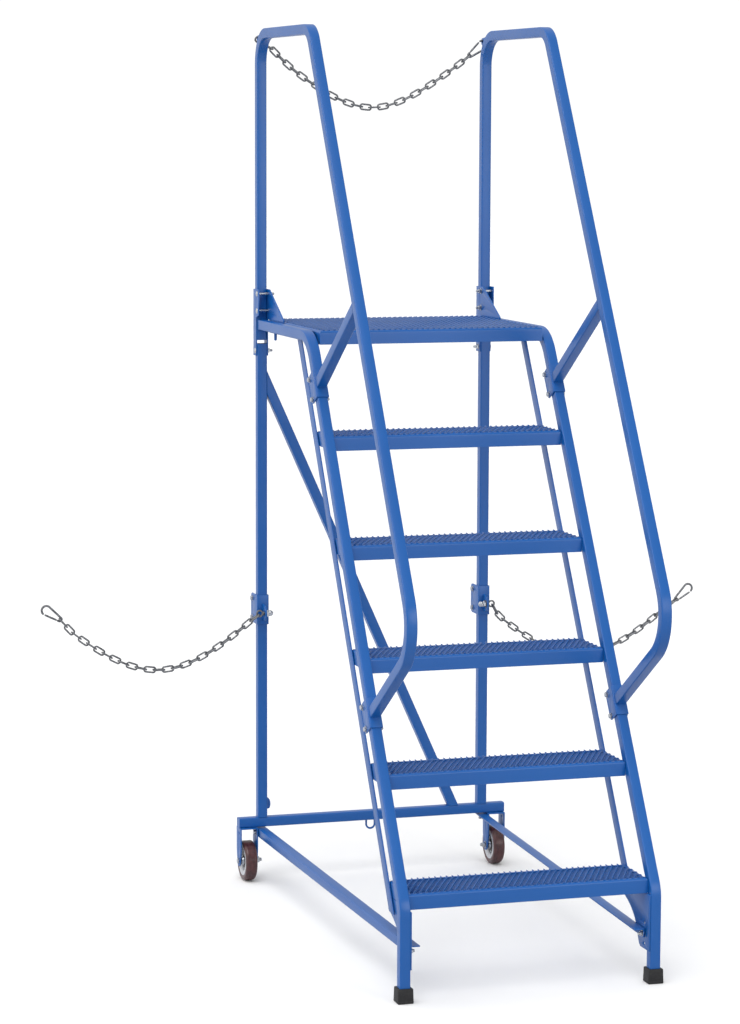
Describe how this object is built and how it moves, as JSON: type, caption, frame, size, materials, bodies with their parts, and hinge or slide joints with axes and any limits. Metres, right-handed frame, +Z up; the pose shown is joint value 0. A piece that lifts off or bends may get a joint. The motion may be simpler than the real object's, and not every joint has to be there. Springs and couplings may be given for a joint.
{
  "type": "rolling warehouse ladder",
  "caption": "Rolling warehouse step ladder with a top platform, bent-tube handrails, a braced rear frame on fixed wheels, and tie chains with snap hooks.",
  "frame": {"origin": "on the floor, below the middle of the overall width and depth", "axes": "+X to the climber's right, +Y from the steps towards the wheels, +Z up from the floor"},
  "size_m": [1.8477, 1.385, 2.2886],
  "materials": {
    "blue_paint": "semi-gloss",
    "zinc": "satin",
    "tyre": "satin",
    "hub": "satin",
    "foot_rubber": "matte"
  },
  "bodies": {
    "ladder": {"back_bar_left": "blue_paint", "back_bar_right": "blue_paint", "caster_axle_left": "zinc", "caster_axle_right": "zinc", "caster_fork_left": "blue_paint", "caster_fork_right": "blue_paint", "chain_clamp_left": "blue_paint", "chain_clamp_right": "blue_paint", "chain_eye_left": "zinc", "chain_eye_right": "zinc", "chain_tab_left": "blue_paint", "chain_tab_right": "blue_paint", "cross_member": "blue_paint", "foot_gusset_left": "blue_paint", "foot_gusset_right": "blue_paint", "handrail_left": "blue_paint", "handrail_right": "blue_paint", "handrail_strut_left": "blue_paint", "handrail_strut_right": "blue_paint", "lashing_loop": "blue_paint", "platform_bracket_left": "blue_paint", "platform_bracket_right": "blue_paint", "platform_frame": "blue_paint", "platform_grating": "blue_paint", "rear_brace": "blue_paint", "rear_post_left": "blue_paint", "rear_post_right": "blue_paint", "rubber_foot_left": "foot_rubber", "rubber_foot_right": "foot_rubber", "saddle_lower_left": "blue_paint", "saddle_lower_right": "blue_paint", "saddle_upper_left": "blue_paint", "saddle_upper_right": "blue_paint", "side_bar_left": "blue_paint", "side_bar_right": "blue_paint", "stringer_left": "blue_paint", "stringer_right": "blue_paint", "tread_frame_1": "blue_paint", "tread_frame_2": "blue_paint", "tread_frame_3": "blue_paint", "tread_frame_4": "blue_paint", "tread_frame_5": "blue_paint", "tread_grating_1": "blue_paint", "tread_grating_2": "blue_paint", "tread_grating_3": "blue_paint", "tread_grating_4": "blue_paint", "tread_grating_5": "blue_paint"},
    "left_wheel": {"wheel_tyre_left": "tyre", "wheel_hub_left": "hub"},
    "right_wheel": {"wheel_tyre_right": "tyre", "wheel_hub_right": "hub"},
    "platform_chain": {"platform_chain": "zinc", "platform_snap_hook": "zinc"},
    "platform_gate": {"platform_snap_gate": "zinc"},
    "left_tie_chain": {"tie_chain_left": "zinc"},
    "left_snap": {"tie_snap_hook_left": "zinc"},
    "left_gate": {"tie_snap_gate_left": "zinc"},
    "right_tie_chain": {"tie_chain_right": "zinc"},
    "right_snap": {"tie_snap_hook_right": "zinc"},
    "right_gate": {"tie_snap_gate_right": "zinc"}
  },
  "joints": [
    {"name": "wheel_spin_left", "type": "hinge", "parent": "ladder", "child": "left_wheel", "pos_m": [-0.354, 0.63848, 0.054], "axis": [1, 0, 0], "continuous": true},
    {"name": "wheel_spin_right", "type": "hinge", "parent": "ladder", "child": "right_wheel", "pos_m": [0.354, 0.63848, 0.054], "axis": [1, 0, 0], "continuous": true},
    {"name": "platform_chain_swing", "type": "hinge", "parent": "ladder", "child": "platform_chain", "pos_m": [0, 0.66448, 2.2625], "axis": [1, 0, 0], "range_deg": [-30, 60]},
    {"name": "platform_gate_open", "type": "hinge", "parent": "platform_chain", "child": "platform_gate", "pos_m": [0.27759, 0.66448, 2.23419], "axis": [0, 1, 0], "range_deg": [0, 14]},
    {"name": "tie_chain_swing_left", "type": "hinge", "parent": "ladder", "child": "left_tie_chain", "pos_m": [-0.3348, 0.60149, 0.736], "axis": [0, 0, 1], "range_deg": [-75, 75]},
    {"name": "tie_snap_swing_left", "type": "hinge", "parent": "left_tie_chain", "child": "left_snap", "pos_m": [-0.87377, 0.60149, 0.74363], "axis": [0, 1, 0], "range_deg": [-35, 35]},
    {"name": "tie_gate_open_left", "type": "hinge", "parent": "left_snap", "child": "left_gate", "pos_m": [-0.88161, 0.60149, 0.74164], "axis": [0, 1, 0], "range_deg": [0, 22]},
    {"name": "tie_chain_swing_right", "type": "hinge", "parent": "ladder", "child": "right_tie_chain", "pos_m": [0.3348, 0.60149, 0.736], "axis": [0, 0, 1], "range_deg": [-75, 75]},
    {"name": "tie_snap_swing_right", "type": "hinge", "parent": "right_tie_chain", "child": "right_snap", "pos_m": [0.87632, 0.60149, 0.72738], "axis": [0, 1, 0], "range_deg": [-35, 35]},
    {"name": "tie_gate_open_right", "type": "hinge", "parent": "right_snap", "child": "right_gate", "pos_m": [0.88432, 0.60149, 0.72615], "axis": [0, -1, 0], "range_deg": [0, 22]}
  ]
}
